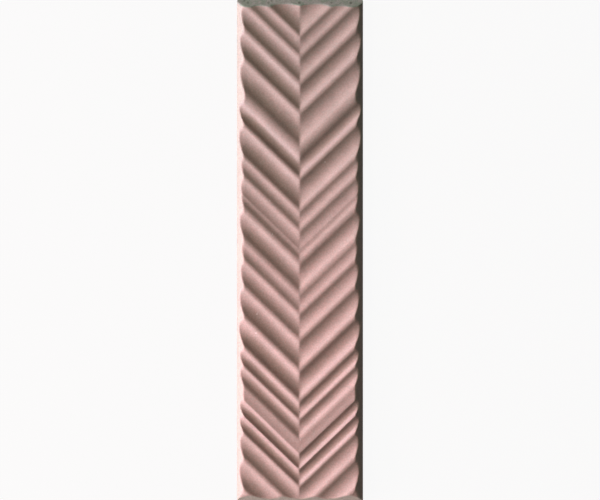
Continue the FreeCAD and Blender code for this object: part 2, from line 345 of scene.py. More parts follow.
@dataclass
class Bench:
    """A node tree and short ways to lay and join its nodes."""

    tree: Tree

    def node(self, kind: str, inputs: dict | None = None, **settings: object) -> bpy.types.Node:
        """Add a node.

        Args:
            kind: The node's type name.
            inputs: Values or sockets for its inputs, by name or number.
            settings: Its own settings, by attribute.

        Returns:
            The new node.
        """
        node = self.tree.nodes.new(kind)
        for name, value in settings.items():
            setattr(node, name, value)
        for name, value in (inputs or {}).items():
            self.feed(node.inputs[name], value)
        return node

    def feed(self, target: Socket, value: object) -> None:
        """Link a socket to the target, or set the target's own value.

        Args:
            target: The input to feed.
            value: A socket or a plain value.
        """
        if isinstance(value, bpy.types.NodeSocket):
            self.tree.links.new(value, target)
        else:
            target.default_value = value

    def math(self, operation: str, *values: object) -> Socket:
        """Return the result of a Math node."""
        node = self.node("ShaderNodeMath", dict(enumerate(values)), operation=operation)
        return node.outputs[0]

    def vector_math(self, operation: str, *values: object) -> Socket:
        """Return the vector result of a Vector Math node."""
        node = self.node("ShaderNodeVectorMath", dict(enumerate(values)), operation=operation)
        return node.outputs["Vector"]

    def part(self, vector: Socket, axis: str) -> Socket:
        """Return a vector's X, Y or Z."""
        return self.node("ShaderNodeSeparateXYZ", {0: vector}).outputs[axis]

    def spread(self, value: Socket, low: float, high: float, to_low: float = 0.0,
               to_high: float = 1.0, smooth: bool = True) -> Socket:
        """Map a value from one range to another.

        Args:
            value: The value to map.
            low: Where the first range begins.
            high: Where the first range ends.
            to_low: Where the second range begins.
            to_high: Where the second range ends.
            smooth: Whether the map has soft ends.

        Returns:
            The mapped value.
        """
        node = self.node("ShaderNodeMapRange", {
            "Value": value, "From Min": low, "From Max": high, "To Min": to_low, "To Max": to_high,
        }, interpolation_type="SMOOTHSTEP" if smooth else "LINEAR")
        return node.outputs["Result"]

    def mix(self, factor: object, first: object, second: object, blend: str = "MIX") -> Socket:
        """Mix two colours; each may be a socket or a plain colour.

        Args:
            factor: How much the second colour comes in, from 0 to 1.
            first: The first colour.
            second: The second colour.
            blend: The node's name for the way in which they are blended.

        Returns:
            The mixed colour.
        """
        node = self.node("ShaderNodeMix", data_type="RGBA", blend_type=blend, clamp_factor=True)
        self.feed(node.inputs["Factor"], factor)
        for name, value in (("A", first), ("B", second)):
            target = next(s for s in node.inputs if s.name == name and s.type == "RGBA")
            self.feed(target, value if isinstance(value, bpy.types.NodeSocket) else (*value, 1.0))
        return next(s for s in node.outputs if s.type == "RGBA")

    def noise(self, place: Socket, scale: object, detail: float = 2.0, roughness: float = 0.5,
              dimensions: str = "3D", w: object = 0.0) -> Socket:
        """Lay a Noise Texture.

        Args:
            place: Where it is read.
            scale: How many of its waves go into one unit of the place.
            detail: How many times finer waves are laid over them.
            roughness: How strong the finer waves are.
            dimensions: The node's name for its number of dimensions.
            w: The place in the fourth dimension, where it has one.

        Returns:
            Its value.
        """
        inputs = {"Vector": place, "Scale": scale, "Detail": detail, "Roughness": roughness}
        if dimensions == "4D":
            inputs["W"] = w
        node = self.node("ShaderNodeTexNoise", inputs, noise_dimensions=dimensions)
        return node.outputs[0]


@dataclass
class GlazedTile:
    """The whole tile as one closed mesh: lifted face, rounded rims, straight walls and keyed back.

    The shift and turns of the press move the line where the chevrons meet, and those of the sides move
    the side bevels. A softness is the width over which two surfaces run together. The zones, rows and
    columns say how close the mesh's lines lie.
    """

    stock: Stock
    relief: Relief
    side_bevel: Bevel = Bevel(drop=4.2, inset=4.45)
    end_bevel: Bevel = Bevel(drop=6.4, inset=5.3)
    rim_round: float = 0.8
    foot_round: float = 0.5
    corner_softness: float = 1.6
    hip_softness: float = 1.0
    edge_softness: float = 1.1
    seam_softness: float = 0.6
    press_shift: float = -0.3
    press_turn: float = 0.002
    side_turn: float = 0.0028
    side_taper: float = 0.0008
    side_bow: float = -0.25
    dish_depth: float = 1.2
    ripple_height: float = 0.025
    ripple_length: float = 9.0
    seed: float = 7.0
    glaze_wrap: float = 0.5
    key_depth: float = 0.7
    key_rim: float = 5.0
    key_rib: float = 2.5
    key_columns: int = 3
    key_rows: int = 12
    key_ramp: tuple[Band, ...] = ((0.0, 0.0), (0.12, 0.1), (0.38, 0.9), (0.5, 1.0))
    end_zone: float = 6.0
    rim_turns: int = 4
    foot_turns: int = 3
    seam_columns: tuple[float, ...] = (0.0, 0.12, 0.28, 0.5, 0.8, 1.2)
    inner_column: float = 0.62
    bevel_column: float = 0.35
    bevel_zone: float = 6.2
    end_row: float = 0.3
    vertices: list[np.ndarray] = field(default_factory=list)
    lifted: list[np.ndarray] = field(default_factory=list)
    rim_drops: list[np.ndarray] = field(default_factory=list)
    faces: list[list[int]] = field(default_factory=list)

    def rim_insets(self) -> np.ndarray:
        """Return how far in from the wall the rim's rows lie, on its round of an eighth of a turn."""
        turns = np.linspace(0.0, math.pi / 4, self.rim_turns + 1)
        return self.rim_round * (1 - np.cos(turns))

    def rim_drop(self, inset: np.ndarray) -> np.ndarray:
        """Round the rim down from the bevel's plane.

        Args:
            inset: How far places lie in from the wall.

        Returns:
            How far the rim lies under the plane at each of them.
        """
        reach = self.rim_round * math.tan(math.pi / 8)
        round_rise = np.sqrt(np.maximum(2 * self.rim_round * inset - inset ** 2, 0.0))
        drop = reach + inset - round_rise
        return np.where(inset < self.rim_insets()[-1], drop, 0.0)

    def insets(self, zone: float, step: float) -> np.ndarray:
        """Space out the lines that run along a wall.

        Args:
            zone: How far in from the wall they reach.
            step: The widest gap between them past the rim's round.

        Returns:
            How far in the rim's lines lie, and the lines on from there through the zone.
        """
        rim = self.rim_insets()
        count = math.ceil((zone - rim[-1]) / step)
        return np.concatenate([rim, np.linspace(rim[-1], zone, count + 1)[1:]])

    def columns(self) -> np.ndarray:
        """Space out the mesh's columns, closer together at the centre line and on the bevels.

        Returns:
            Their places across the tile, from the left wall to the right.
        """
        half = self.stock.width / 2
        near = half - self.insets(self.bevel_zone, self.bevel_column)[::-1]
        seam = np.array(self.seam_columns)
        count = math.ceil((near[0] - seam[-1]) / self.inner_column)
        inner = np.linspace(seam[-1], near[0], count + 1)[1:-1]
        right = np.concatenate([seam, inner, near])
        return np.concatenate([-right[:0:-1], right])

    def face_grid(self, across: np.ndarray) -> tuple[np.ndarray, np.ndarray]:
        """Lay the face's rows: straight at both ends and along the chevrons between them.

        Args:
            across: The columns' places across the tile.

        Returns:
            The rows' places along the tile, as a grid of rows by columns, and the number of each
            vertex, where the places that fall together share one number.
        """
        half = self.stock.length / 2
        ends = half - self.insets(self.end_zone, self.end_row)
        reach = half - self.end_zone
        lines = self.relief.rows() / self.relief.cosine
        along = lines[:, None] + self.relief.slope * np.abs(across)[None, :]
        along = np.clip(along, -reach, reach)
        lower = np.broadcast_to(-ends[::-1, None], (len(ends), len(across)))
        upper = np.broadcast_to(ends[:, None], (len(ends), len(across)))
        along = np.concatenate([upper, along, lower])
        same = np.zeros(along.shape, dtype=bool)
        same[1:] = np.abs(np.diff(along, axis=0)) < SAME_ROW
        number = np.cumsum(~same.ravel()).reshape(along.shape) - 1
        for row in range(1, len(along)):
            number[row] = np.where(same[row], number[row - 1], number[row])
        return along, number

    def wall_insets(self, x: np.ndarray, y: np.ndarray) -> tuple[np.ndarray, np.ndarray]:
        """Return how far places lie in from the nearer side wall and from the nearer end wall."""
        return self.stock.width / 2 - np.abs(x), self.stock.length / 2 - np.abs(y)

    def round_corners(self, x: np.ndarray, y: np.ndarray) -> tuple[np.ndarray, np.ndarray]:
        """Draw the plan's four corners in, most on the diagonal, so that every ring turns them softly.

        Args:
            x: Places across the tile.
            y: Places along the tile.

        Returns:
            The same places, drawn in at the corners.
        """
        side, end = self.wall_insets(x, y)
        nearness = np.maximum(1 - np.abs(side - end) / self.corner_softness, 0.0)
        shift = nearness ** 3 * self.corner_softness / 6
        return x - np.sign(x) * shift, y - np.sign(y) * shift

    def add_points(self, x: np.ndarray, y: np.ndarray, z: np.ndarray, surface: Surface,
                   rim_drop: np.ndarray | None = None) -> int:
        """Add vertices to the mesh.

        Args:
            x: Their places across the tile.
            y: Their places along the tile.
            z: Their heights.
            surface: The side of the tile that they belong to.
            rim_drop: How far the rounded rim drops each of them, if it does.

        Returns:
            The first one's number.
        """
        first = sum(len(block) for block in self.vertices)
        self.vertices.append(np.stack([x, y, z], axis=1))
        self.lifted.append(np.full(len(x), float(surface is Surface.FACE)))
        self.rim_drops.append(np.zeros(len(x)) if rim_drop is None else rim_drop)
        return first

    @staticmethod
    def cells(number: np.ndarray) -> list[list[int]]:
        """Return a grid's cells, each as its corners along its second row and back along its first."""
        corners = [number[1:, :-1], number[1:, 1:], number[:-1, 1:], number[:-1, :-1]]
        return np.stack(corners, axis=-1).reshape(-1, 4).tolist()

    @staticmethod
    def ring(number: np.ndarray) -> list[int]:
        """Return the loop round a grid, each vertex once, which begins along the grid's first row."""
        sides = [number[0, :], number[1:, -1], number[-1, -2::-1], number[-2:0:-1, 0]]
        return list(dict.fromkeys(np.concatenate(sides).tolist()))

    def make_face(self) -> np.ndarray:
        """Lay the face's flat grid, to be lifted later.

        Returns:
            The grid's outer loop of vertices, anticlockwise.
        """
        across = self.columns()
        along, number = self.face_grid(across)
        _, kept = np.unique(number.ravel(), return_index=True)
        x = np.broadcast_to(across, along.shape).ravel()[kept]
        y = along.ravel()[kept]
        order = np.zeros(number.max() + 1, dtype=int)
        order[number.ravel()[kept]] = np.arange(len(kept))
        number = order[number]
        inset = np.minimum(*self.wall_insets(x, y))
        x = x + (self.press_shift + self.press_turn * y) * (1 - np.abs(x) / (self.stock.width / 2))
        x, y = self.round_corners(x, y)
        self.add_points(x, y, np.zeros_like(x), Surface.FACE, self.rim_drop(inset))
        cells = [list(dict.fromkeys(cell)) for cell in self.cells(number)]
        self.faces += [cell for cell in cells if len(cell) > 2]
        return np.array(self.ring(number[::-1]))

    def make_walls(self, rim: np.ndarray) -> np.ndarray:
        """Drop the walls from the face's rim to the foot's round.

        Args:
            rim: The face's outer loop of vertices, anticlockwise.

        Returns:
            The foot's inner loop of vertices.
        """
        x, y = self.vertices[0][rim, :2].T
        side, end = self.wall_insets(x, y)
        nearness = np.maximum(1 - np.abs(side - end) / (2 * self.corner_softness), 0.0)
        upper = rim
        for turn in np.linspace(0.0, math.pi / 2, self.foot_turns + 1):
            inset = self.foot_round * (1 - math.cos(turn))
            height = self.foot_round * (1 - math.sin(turn))
            in_x = inset * np.where(side < end, 1.0, nearness)
            in_y = inset * np.where(end < side, 1.0, nearness)
            first = self.add_points(x - np.sign(x) * in_x, y - np.sign(y) * in_y,
                                    np.full(len(x), height), Surface.BACK)
            lower = np.arange(first, first + len(x))
            self.faces += self.cells(np.pad([upper, lower], ((0, 0), (0, 1)), mode="wrap"))
            upper = lower
        return upper

    def key_lines(self, size: float, count: int) -> tuple[np.ndarray, np.ndarray]:
        """Lay the back's grid lines one way.

        Args:
            size: The tile's width or length.
            count: How many of the key's pockets lie side by side that way.

        Returns:
            The lines' places, and how deep the key sinks at each, from 0 to 1.
        """
        pitch = (size - 2 * self.key_rim + self.key_rib) / count
        runs, sunk = np.array(self.key_ramp).T
        lows = self.key_rim - size / 2 + pitch * np.arange(count)
        places = lows[:, None] + np.concatenate([runs, pitch - self.key_rib - runs[::-1]])
        depths = np.tile(np.concatenate([sunk, sunk[::-1]]), count)
        edge = (size - self.key_rim) / 2
        return np.pad(places.ravel(), 1, constant_values=(-edge, edge)), np.pad(depths, 1)

    def make_back(self, foot: np.ndarray) -> None:
        """Lay the back with its key pattern and join it to the foot with a flat fill.

        Args:
            foot: The foot's inner loop of vertices.
        """
        x_lines, x_depths = self.key_lines(self.stock.width, self.key_columns)
        y_lines, y_depths = self.key_lines(self.stock.length, self.key_rows)
        x, y = (grid.ravel() for grid in np.meshgrid(x_lines, y_lines))
        sunk = np.minimum(*(grid.ravel() for grid in np.meshgrid(x_depths, y_depths)))
        first = self.add_points(x, y, sunk * self.key_depth, Surface.BACK)
        number = np.arange(first, first + len(x)).reshape(len(y_lines), len(x_lines))
        # A quarter turn of the grid has each cell split from its lower left to its upper right corner.
        self.faces += self.cells(np.rot90(number))
        self.fill_between(foot.tolist(), self.ring(number))

    def fill_between(self, outer: list[int], inner: list[int]) -> None:
        """Fill the flat ring between two loops of the back with triangles that face down.

        Args:
            outer: The foot's inner loop of vertices.
            inner: The loop round the key pattern.
        """
        points = np.concatenate(self.vertices)
        index = outer + inner
        flat = [Vector(points[i][:2]) for i in index]
        count = len(outer)
        edges = [(i, (i + 1) % count) for i in range(count)]
        edges += [(count + i, count + (i + 1) % len(inner)) for i in range(len(inner))]
        _, _, triangles, sources, _, _ = delaunay_2d_cdt(flat, edges, [], FILL_WITHIN, SAME_POINT)
        low, high = points[inner, :2].min(axis=0), points[inner, :2].max(axis=0)
        for triangle in triangles:
            corners = [index[sources[i][0]] for i in reversed(triangle)]
            middle = points[corners, :2].mean(axis=0)
            if np.any(middle < low) or np.any(middle > high):
                self.faces.append(corners)

    def blank(self) -> bpy.types.Object:
        """Build the closed blank, in metres, with the marks that the face's tree reads.

        Returns:
            The blank, in the scene.
        """
        foot = self.make_walls(self.make_face())
        self.make_back(foot)
        mesh = bpy.data.meshes.new("glazed_tile")
        mesh.from_pydata((np.concatenate(self.vertices) * MM).tolist(), [], self.faces)
        for name, values in (("lifted", self.lifted), ("rim_drop", self.rim_drops)):
            mark = mesh.attributes.new(name, "FLOAT", "POINT")
            mark.data.foreach_set("value", np.concatenate(values).astype(np.float32))
        mesh.shade_smooth()
        return put("glazed_tile", mesh)

    def build(self, glaze: bpy.types.Material, body: bpy.types.Material) -> bpy.types.Object:
        """Lift the blank's face with the tree and return the finished tile as a plain mesh.

        Args:
            glaze: The finish of the face, bevels and upper walls.
            body: The finish of the back.

        Returns:
            The tile, with no modifier left on it.
        """
        tile = self.blank()
        profile = self.relief.table()
        numbers = {
            "Profile Start": float(profile.data.vertices[0].co.x),
            "Profile Step": self.relief.step,
            "Width": self.stock.width,
            "Length": self.stock.length,
            "Top": self.stock.top,
            "Chevron Slope": self.relief.slope,
            "Chevron Cosine": self.relief.cosine,
            "Side Drop": self.side_bevel.drop,
            "Side Slope": self.side_bevel.slope,
            "End Drop": self.end_bevel.drop,
            "End Slope": self.end_bevel.slope,
            "Dish Reach": self.stock.width / 2 - self.side_bevel.inset,
        }
        for name in ("hip_softness", "edge_softness", "seam_softness", "press_shift", "press_turn",
                     "side_turn", "side_taper", "side_bow", "dish_depth", "ripple_height",
                     "ripple_length", "seed", "glaze_wrap"):
            numbers[name.replace("_", " ").title()] = getattr(self, name)
        tree = PressedFace(tuple(numbers)).make()
        modifier = tile.modifiers.new("pressed_face", "NODES")
        modifier.node_group = tree
        values = {"Profile": profile, "Glaze": glaze, "Body": body, **numbers}
        for item in tree.interface.items_tree:
            if item.name in values:
                modifier[item.identifier] = values[item.name]
        shape = bpy.data.meshes.new_from_object(tile.evaluated_get(bpy.context.evaluated_depsgraph_get()))
        tile.modifiers.clear()
        tile.data = shape
        shape.name = "glazed_tile"
        bpy.data.objects.remove(profile)
        log.info("glazed_tile: %d faces", len(shape.polygons))
        return tile


class PressedFace:
    """The node tree that lifts the blank's face to its relief, in millimetres inside a mesh in metres."""

    BACK_FACING = -0.2

    def __init__(self, numbers: tuple[str, ...]) -> None:
        """Open the tree and its named inputs.

        Args:
            numbers: The names of the inputs that are numbers.
        """
        self.tree = bpy.data.node_groups.new("pressed_face", "GeometryNodeTree")
        self.bench = Bench(self.tree)
        inputs = [("Geometry", "Geometry"), ("Profile", "Object")]
        inputs += [(name, "Float") for name in numbers]
        inputs += [("Glaze", "Material"), ("Body", "Material")]
        for name, kind in inputs:
            self.tree.interface.new_socket(name, in_out="INPUT", socket_type=f"NodeSocket{kind}")
        self.tree.interface.new_socket("Geometry", in_out="OUTPUT", socket_type="NodeSocketGeometry")
        self.given = self.bench.node("NodeGroupInput").outputs

    def attribute(self, name: str) -> Socket:
        """Return a number that is stored on the mesh."""
        node = self.bench.node("GeometryNodeInputNamedAttribute", {"Name": name}, data_type="FLOAT")
        return node.outputs["Attribute"]

    def relief_height(self, across: Socket) -> Socket:
        """Look the relief's height up in the profile, between its two nearest points.

        Args:
            across: The place across the flutes.

        Returns:
            The height of the relief there.
        """
        bench, given = self.bench, self.given
        profile = bench.node("GeometryNodeObjectInfo", {"Object": given["Profile"]})
        place = bench.math("DIVIDE", bench.math("SUBTRACT", across, given["Profile Start"]),
                           given["Profile Step"])
        below = bench.math("FLOOR", place)
        position = bench.node("GeometryNodeInputPosition").outputs[0]
        heights = []
        for index in (below, bench.math("ADD", below, 1.0)):
            sample = bench.node("GeometryNodeSampleIndex", {
                "Geometry": profile.outputs["Geometry"], "Value": position, "Index": index,
            }, data_type="FLOAT_VECTOR", domain="POINT", clamp=True)
            heights.append(bench.part(sample.outputs[0], "Z"))
        rise = bench.math("SUBTRACT", heights[1], heights[0])
        return bench.math("MULTIPLY_ADD", bench.math("FRACT", place), rise, heights[0])

    def inset(self, place: Socket, size: Socket) -> Socket:
        """Return how far a place lies in from the nearer of the two walls that are a size apart."""
        return self.bench.math("SUBTRACT", self.bench.math("DIVIDE", size, 2.0),
                               self.bench.math("ABSOLUTE", place))

    def hump(self, place: Socket, reach: Socket) -> Socket:
        """Return a parabola that is 1 in the middle and falls to 0 at a reach to either side."""
        share = self.bench.math("POWER", self.bench.math("DIVIDE", place, reach), 2.0)
        return self.bench.math("MAXIMUM", self.bench.math("SUBTRACT", 1.0, share), 0.0)

    def bevel_height(self, inset: Socket, drop: Socket, slope: Socket) -> Socket:
        """Return the height of a bevel's plane at an inset from its wall."""
        foot = self.bench.math("SUBTRACT", self.given["Top"], drop)
        return self.bench.math("MULTIPLY_ADD", inset, slope, foot)

    def flutes(self, in_mm: Socket, x: Socket, y: Socket) -> Socket:
        """Raise the fluted face, with its dish and ripple, on and past the bevels.

        Args:
            in_mm: The whole place, in millimetres.
            x: The place across the tile.
            y: The place along the tile.

        Returns:
            The height of the fluted face.
        """
        bench, given = self.bench, self.given
        turned_x = bench.math("SUBTRACT", x, bench.math("MULTIPLY_ADD", y, given["Press Turn"],
                                                        given["Press Shift"]))
        turned_y = bench.math("MULTIPLY_ADD", x, given["Press Turn"], y)
        soft_x = bench.math("SQRT", bench.math("MULTIPLY_ADD", turned_x, turned_x,
                                               bench.math("POWER", given["Seam Softness"], 2.0)))
        run = bench.math("SUBTRACT", turned_y, bench.math("MULTIPLY", soft_x, given["Chevron Slope"]))
        relief = self.relief_height(bench.math("MULTIPLY", run, given["Chevron Cosine"]))
        waves = bench.noise(in_mm, bench.math("DIVIDE", 1.0, given["Ripple Length"]), detail=1.0,
                            dimensions="4D", w=given["Seed"])
        ripple = bench.math("MULTIPLY", bench.math("SUBTRACT", waves, 1.0), given["Ripple Height"])
        relief = bench.math("ADD", relief, ripple)
        dish = bench.math("MULTIPLY", self.hump(x, given["Dish Reach"]), given["Dish Depth"])
        return bench.math("SUBTRACT", relief, dish)

    def bevels(self, x: Socket, y: Socket) -> tuple[Socket, Socket]:
        """Lay the bevels' planes, with the turn, bow and taper of those at the sides.

        Args:
            x: The place across the tile.
            y: The place along the tile.

        Returns:
            The heights of the side bevels' and the end bevels' planes.
        """
        bench, given = self.bench, self.given
        bow = bench.math("MULTIPLY", self.hump(y, bench.math("DIVIDE", given["Length"], 2.0)),
                         given["Side Bow"])
        bevel_x = bench.math("SUBTRACT", x, bench.math("MULTIPLY_ADD", y, given["Side Turn"], bow))
        side_inset = bench.math("SUBTRACT", self.inset(bevel_x, given["Width"]),
                                bench.math("MULTIPLY", y, given["Side Taper"]))
        end_inset = self.inset(y, given["Length"])
        return (self.bevel_height(side_inset, given["Side Drop"], given["Side Slope"]),
                self.bevel_height(end_inset, given["End Drop"], given["End Slope"]))

    def lift(self, height: Socket) -> Socket:
        """Lift the face's vertices from the flat blank to their height.

        Args:
            height: Their height, in millimetres.

        Returns:
            The lifted geometry.
        """
        bench = self.bench
        on_face = self.above(self.attribute("lifted"), 0.5)
        up = bench.node("ShaderNodeCombineXYZ", {"Z": bench.math("MULTIPLY", height, MM)}).outputs[0]
        return bench.node("GeometryNodeSetPosition", {
            "Geometry": self.given["Geometry"], "Selection": on_face, "Offset": up,
        }).outputs[0]

    def above(self, value: Socket, limit: float) -> Socket:
        """Return whether a value lies above a limit."""
        return self.bench.node("FunctionNodeCompare", {0: value, 1: limit},
                               data_type="FLOAT", operation="GREATER_THAN").outputs[0]

    def dress(self, shape: Socket) -> Socket:
        """Give the back the body's material and all that doesn't face down the glaze's.

        Args:
            shape: The geometry to dress.

        Returns:
            The geometry with its materials.
        """
        bench, given = self.bench, self.given
        shape = bench.node("GeometryNodeRealizeInstances", {"Geometry": shape}).outputs[0]
        whole = bench.node("GeometryNodeSetMaterial", {"Geometry": shape, "Material": given["Body"]})
        normal = bench.node("GeometryNodeInputNormal").outputs[0]
        not_back = self.above(bench.part(normal, "Z"), self.BACK_FACING)
        return bench.node("GeometryNodeSetMaterial", {
            "Geometry": whole.outputs[0], "Selection": not_back, "Material": given["Glaze"],
        }).outputs[0]

    def make(self) -> Tree:
        """Lay the nodes that lift, mark and dress the blank.

        Returns:
            The finished tree.
        """
        bench, given = self.bench, self.given
        position = bench.node("GeometryNodeInputPosition").outputs[0]
        in_mm = bench.vector_math("MULTIPLY", position, (1 / MM,) * 3)
        x, y = bench.part(in_mm, "X"), bench.part(in_mm, "Y")
        relief = self.flutes(in_mm, x, y)
        side, end = self.bevels(x, y)
        bevels = bench.math("SMOOTH_MIN", side, end, given["Hip Softness"])
        height = bench.math("SMOOTH_MIN", relief, bevels, given["Edge Softness"])
        shape = self.lift(bench.math("SUBTRACT", height, self.attribute("rim_drop")))
        bare = bench.math("SUBTRACT", bench.math("MINIMUM", relief, bench.math(
            "ADD", side, given["Glaze Wrap"])), end)
        # How far the face stands over the side bevels' planes, for the paler bevels: thinner glaze and
        # painted sheen and light.
        thin_and_sheen = bench.math("SUBTRACT", relief, side)
        for name, value in (("bare_end", bare), ("thin_edge", thin_and_sheen)):
            shape = bench.node("GeometryNodeStoreNamedAttribute", {
                "Geometry": shape, "Name": name, "Value": value,
            }, data_type="FLOAT", domain="POINT").outputs[0]
        bench.node("NodeGroupOutput", {"Geometry": self.dress(shape)})
        return self.tree


@dataclass
class ShaderGroup:
    """A shader node group with named inputs and outputs, all numbers but the places, built once."""

    name: str
    places: tuple[str, ...]
    sizes: tuple[str, ...]
    results: tuple[str, ...]

    def open(self) -> tuple[Tree, Bench, Sockets, Sockets]:
        """Make the empty group with its inputs and outputs.

        Returns:
            The group's tree, a bench for it, what it is given and what it is to give.
        """
        tree = bpy.data.node_groups.new(self.name, "ShaderNodeTree")
        for names, way, kind in ((self.places, "INPUT", "NodeSocketVector"),
                                 (self.sizes, "INPUT", "NodeSocketFloat"),
                                 (self.results, "OUTPUT", "NodeSocketFloat")):
            for name in names:
                tree.interface.new_socket(name, in_out=way, socket_type=kind)
        bench = Bench(tree)
        return tree, bench, bench.node("NodeGroupInput").outputs, bench.node("NodeGroupOutput").inputs


def fired_grain() -> Tree:
    """Make the grain of fired clay: mottled patches, fine specks, their tint and a height for its bump.

    Returns:
        A group that takes a place in millimetres and the sizes of its patches and specks, and puts out
        the three patterns, each around 0.5, and a height.
    """
    tree, bench, given, result = ShaderGroup(
        "fired_grain", places=("Place",), sizes=("Patch Size", "Grain Size", "Pit Size"),
        results=("Patches", "Grain", "Tint", "Height")).open()
    patch, speck, pit = (bench.math("DIVIDE", 1.0, given[name])
                         for name in ("Patch Size", "Grain Size", "Pit Size"))
    patches = bench.noise(given["Place"], patch, detail=3.0, roughness=0.6)
    grain = bench.noise(given["Place"], speck, detail=2.0, roughness=0.65)
    far_off = bench.vector_math("ADD", given["Place"], FAR_OFF)
    tint = bench.noise(far_off, speck, detail=2.0, roughness=0.65)
    waves = bench.noise(given["Place"], pit, detail=1.0)
    height = bench.math("MULTIPLY_ADD", grain, SPECK_HEIGHT, bench.math("MULTIPLY", waves, PIT_HEIGHT))
    for name, value in (("Patches", patches), ("Grain", grain), ("Tint", tint), ("Height", height)):
        bench.feed(result[name], value)
    return tree


def fleck() -> Tree:
    """Make one small round fleck, seen from above.

    Returns:
        A group that takes a place, a location and a radius in millimetres, and puts out a mask that is
        1 at the middle of the fleck.
    """
    tree, bench, given, result = ShaderGroup(
        "fleck", places=("Place", "Location"), sizes=("Radius",), results=("Mask",)).open()
    flat = bench.vector_math("MULTIPLY", given["Place"], (1.0, 1.0, 0.0))
    away = bench.node("ShaderNodeVectorMath", {0: flat, 1: given["Location"]},
                      operation="DISTANCE").outputs["Value"]
    share = bench.math("DIVIDE", away, given["Radius"])
    bench.feed(result["Mask"], bench.spread(share, *FLECK_EDGE))
    return tree


@dataclass(frozen=True)
class Fleck:
    """A small spot or speck on the tile: its place across and along, its radius and its colour."""

    x: float
    y: float
    radius: float
    colour: Colour
    strength: float = 0.8


DARK_SPOT = (0.05, 0.05, 0.03)
IRON = (0.08, 0.05, 0.045)
BLUSH = (0.78, 0.60, 0.55)

FLECKS = (
    # Dark spots in a row along the upper end.
    Fleck(-31.0, 147.9, 0.85, DARK_SPOT, 0.5),
    Fleck(-18.8, 147.8, 0.80, DARK_SPOT, 0.5),
    Fleck(-0.4, 147.9, 0.90, DARK_SPOT, 0.65),
    Fleck(18.7, 147.9, 0.80, DARK_SPOT, 0.5),
    Fleck(30.2, 147.7, 0.95, DARK_SPOT, 0.65),
    Fleck(-33.3, 149.3, 0.80, DARK_SPOT, 0.5),
    Fleck(-17.0, 149.3, 0.80, DARK_SPOT, 0.5),
    Fleck(-0.2, -95.6, 0.45, IRON, 0.8),
    Fleck(14.9, 53.1, 0.50, BLUSH, 0.6),
    Fleck(-16.3, 10.2, 0.45, BLUSH, 0.5),
    Fleck(-17.9, 29.9, 0.40, BLUSH, 0.5),
    Fleck(-25.6, -37.4, 0.45, BLUSH, 0.5),
    Fleck(-26.2, -48.7, 0.45, BLUSH, 0.5),
)


class GrainSize(NamedTuple):
    """Sizes of the patches, the specks and the pits of a grain."""

    patch: float
    speck: float
    pit: float


class Finish:
    """A material with one Principled shader and short ways to its usual inputs."""

    def __init__(self, name: str) -> None:
        """Make the material with its shader and with the place, in millimetres, that patterns read.

        Args:
            name: The material's name.
        """
        self.material = bpy.data.materials.new(name)
        self.bench = Bench(empty_tree(self.material))
        self.shader = self.bench.node("ShaderNodeBsdfPrincipled")
        self.bench.node("ShaderNodeOutputMaterial", {"Surface": self.shader.outputs[0]})
        place = self.bench.node("ShaderNodeTexCoord").outputs["Object"]
        self.place = self.bench.vector_math("MULTIPLY", place, (1 / MM,) * 3)
        self.along = self.bench.part(self.place, "Y")

    def group(self, tree: Tree, inputs: dict) -> bpy.types.Node:
        """Place a node group with its values.

        Args:
            tree: The group.
            inputs: Values or sockets for its inputs, by name.

        Returns:
            The group's node.
        """
        node = self.bench.node("ShaderNodeGroup", node_tree=tree)
        for name, value in inputs.items():
            self.bench.feed(node.inputs[name], value)
        return node

    def grain(self, tree: Tree, size: GrainSize) -> Sockets:
        """Place the grain's group with its sizes and return its outputs."""
        return self.group(tree, {"Place": self.place, "Patch Size": size.patch, "Grain Size": size.speck,
                                 "Pit Size": size.pit}).outputs

    def shaded(self, colour: Socket, shade: Socket) -> Socket:
        """Return a colour made lighter or darker by a factor."""
        grey = self.bench.node("ShaderNodeCombineColor", {0: shade, 1: shade, 2: shade}).outputs[0]
        return self.bench.mix(1.0, colour, grey, "MULTIPLY")

    def sheen(self, patches: Socket, middle: float, play: float) -> Socket:
        """Return a roughness that strays from its middle value with the patches."""
        return self.bench.spread(patches, *NOISE_BAND, middle - play, middle + play)

    def attribute(self, name: str) -> Socket:
        """Return a number that is stored on the mesh."""
        return self.bench.node("ShaderNodeAttribute", attribute_name=name).outputs["Fac"]

    def coat(self, colour: Socket, rough: Socket, height: Socket, strength: float,
             depth: float) -> bpy.types.Material:
        """Feed the shader its colour, roughness and bump.

        Args:
            colour: The base colour.
            rough: The roughness.
            height: The height that the bump follows.
            strength: The bump's strength, from 0 to 1.
            depth: The bump's depth, in millimetres.

        Returns:
            The finished material.
        """
        bump = self.bench.node("ShaderNodeBump", {
            "Height": height, "Strength": strength, "Distance": depth * MM}).outputs[0]
        for name, value in (("Base Color", colour), ("Roughness", rough), ("Normal", bump)):
            self.bench.feed(self.shader.inputs[name], value)
        return self.material


